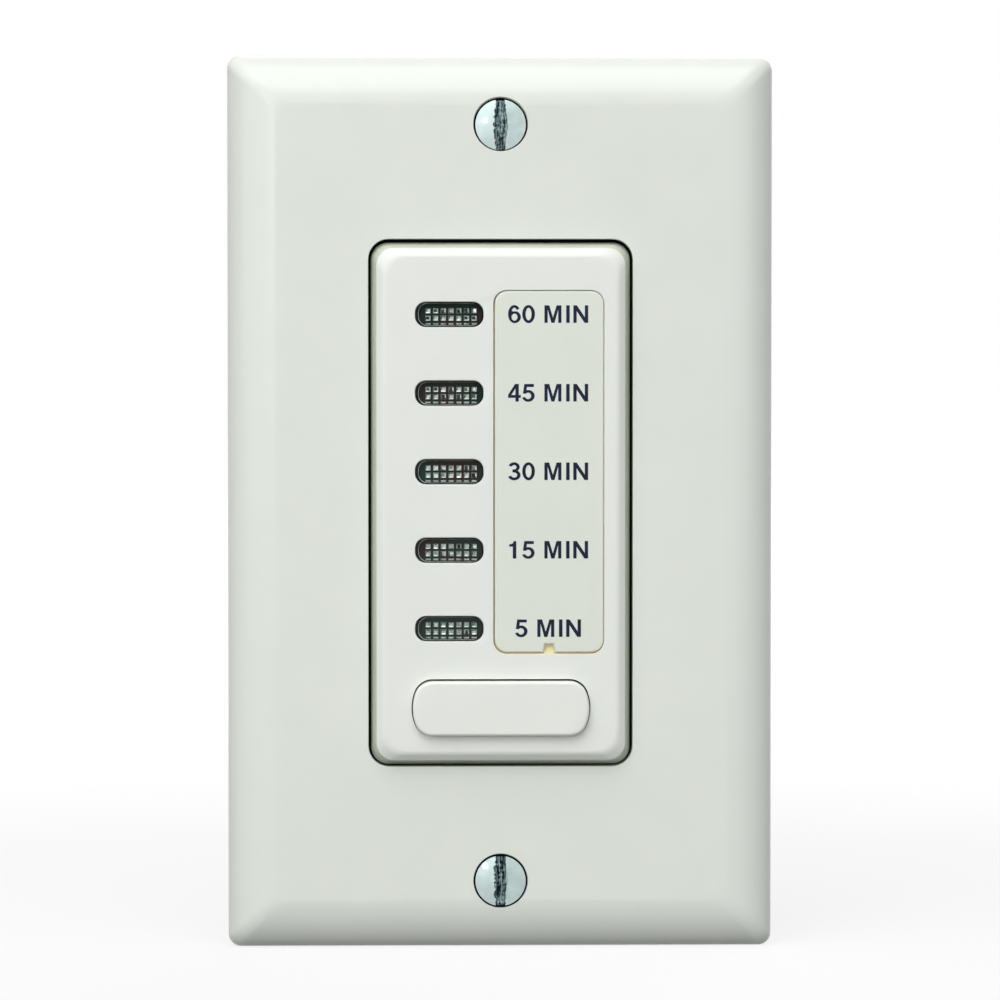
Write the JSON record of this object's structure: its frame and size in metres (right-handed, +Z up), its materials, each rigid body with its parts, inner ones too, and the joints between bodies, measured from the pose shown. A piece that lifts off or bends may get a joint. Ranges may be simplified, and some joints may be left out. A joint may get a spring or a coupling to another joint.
{
  "type": "timer light switch",
  "caption": "Wall timer light switch: bevelled wall plate, raised front with indicator windows, legend strip and push button, over a boxed timer with relay.",
  "frame": {"origin": "on the wall plane, at the centre of the wall plate", "axes": "+X to the right seen from the room, +Y into the wall, +Z up"},
  "size_m": [0.0698, 0.0378, 0.1142],
  "materials": {
    "plate_plastic": "glossy moulded thermoplastic, warm white",
    "cover_plastic": "glossy moulded thermoplastic, warm white",
    "label_plastic": "satin printed film on thermoplastic",
    "button_plastic": "satin moulded thermoplastic, warm white",
    "lens_clear": "clear moulded lens with small facets",
    "zinc_steel": "zinc plated",
    "strap_steel": "zinc-plated stamped sheet",
    "fibre": "vulcanised fibre sheet",
    "ground_green": "green plated",
    "baffle_white": "moulded",
    "board_green": "solder-masked glass-fibre laminate",
    "chip_black": "moulded epoxy",
    "led_body": "moulded package",
    "housing_plastic": "moulded, fine spark-eroded texture",
    "film_yellow": "epoxy-filled case",
    "can_sleeve": "shrink sleeve",
    "varistor_blue": "dipped epoxy",
    "resistor_body": "flameproof lacquer",
    "relay_blue": "moulded cap",
    "copper": "enamelled wire",
    "soft_iron": "nickel plated",
    "brass": "stamped"
  },
  "bodies": {
    "switch_body": {"board_header": "chip_black", "board_resistors": "chip_black", "box_screws": "zinc_steel", "bridge_rectifier": "chip_black", "display_board": "board_green", "electrolytic_capacitor": "can_sleeve", "film_capacitor": "film_yellow", "front_cover": "cover_plastic", "ground_screw": "ground_green", "housing_screws": "zinc_steel", "indicator_lens_15": "lens_clear", "indicator_lens_30": "lens_clear", "indicator_lens_45": "lens_clear", "indicator_lens_5": "lens_clear", "indicator_lens_60": "lens_clear", "insulating_sheet": "fibre", "label_strip": "label_plastic", "led_15": "led_body", "led_30": "led_body", "led_45": "led_body", "led_5": "led_body", "led_60": "led_body", "light_baffle": "baffle_white", "line_terminal": "brass", "load_terminal": "brass", "microcontroller": "chip_black", "mounting_strap": "strap_steel", "neutral_terminal": "brass", "plate_screws": "zinc_steel", "power_board": "board_green", "power_resistor": "resistor_body", "rear_housing": "housing_plastic", "relay_base": "chip_black", "relay_bobbin": "baffle_white", "relay_case": "relay_blue", "relay_core": "soft_iron", "relay_fixed_contact": "brass", "relay_winding": "copper", "relay_yoke": "soft_iron", "screw_retainers": "fibre", "tact_switch_body": "chip_black", "tact_switch_dome": "strap_steel", "tact_switch_frame": "strap_steel", "terminal_screws": "brass", "varistor": "varistor_blue", "wall_plate": "plate_plastic", "wire_clamps": "strap_steel"},
    "button": {"push_button": "button_plastic"},
    "plunger": {"tact_switch_plunger": "baffle_white"},
    "armature": {"relay_armature": "soft_iron", "relay_contact_blade": "brass"}
  },
  "joints": [
    {"name": "button_press", "type": "slide", "parent": "switch_body", "child": "button", "axis": [0, 1, 0], "range_m": [0, 0.0005], "stiffness_N_per_m": 200},
    {"name": "plunger_press", "type": "slide", "parent": "switch_body", "child": "plunger", "axis": [0, 1, 0], "range_m": [0, 0.0005], "deforming": ["tact_switch_dome"]},
    {"name": "armature_pull", "type": "hinge", "parent": "switch_body", "child": "armature", "pos_m": [-0.004, 0.00817, -0.0037], "axis": [1, 0, 0], "range_deg": [0, 3.5], "stiffness_Nm_per_rad": 0.002}
  ],
  "couplings": [
    {"joint": "plunger_press", "follows": "button_press", "ratio": 1}
  ]
}
